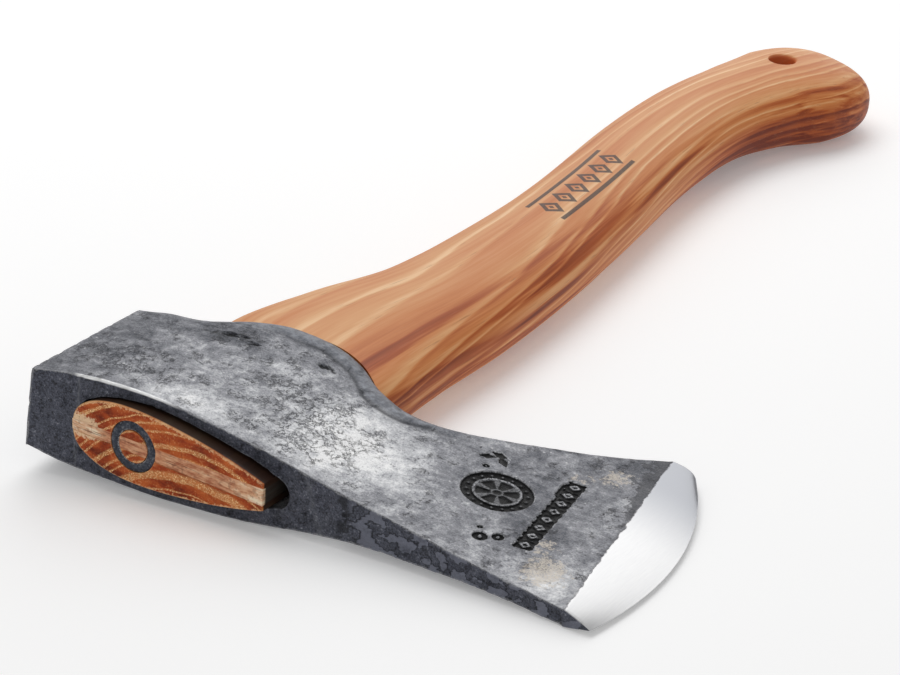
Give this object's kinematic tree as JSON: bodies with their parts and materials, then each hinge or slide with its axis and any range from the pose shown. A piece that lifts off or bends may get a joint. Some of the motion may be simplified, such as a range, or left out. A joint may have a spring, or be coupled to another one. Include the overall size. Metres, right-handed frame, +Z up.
{
  "type": "carving hatchet",
  "caption": "Short carving hatchet: a forged steel head with a flared blade on a curved hickory handle with a swelled knob, held by a wood wedge and a steel ring wedge.",
  "frame": {"origin": "centre of the bounding box in plan, on the surface that the hatchet lies on", "axes": "+Y from the head to the knob of the handle, +X from the poll towards the cutting edge, +Z up out of the bench, with the hatchet lying on its side"},
  "size_m": [0.1576, 0.328, 0.0283],
  "materials": {
    "forged_steel": "dark forge scale, worn and mottled grey on the cheeks, with a polished ground bevel",
    "hickory": "clear satin lacquer over straight warm grain",
    "pale_wood": "bare sawn end grain",
    "ring_steel": "blued, lightly burred"
  },
  "bodies": {
    "root": {"axe_head": "forged_steel", "handle": "hickory", "wood_wedge": "pale_wood", "ring_wedge": "ring_steel"}
  },
  "joints": []
}
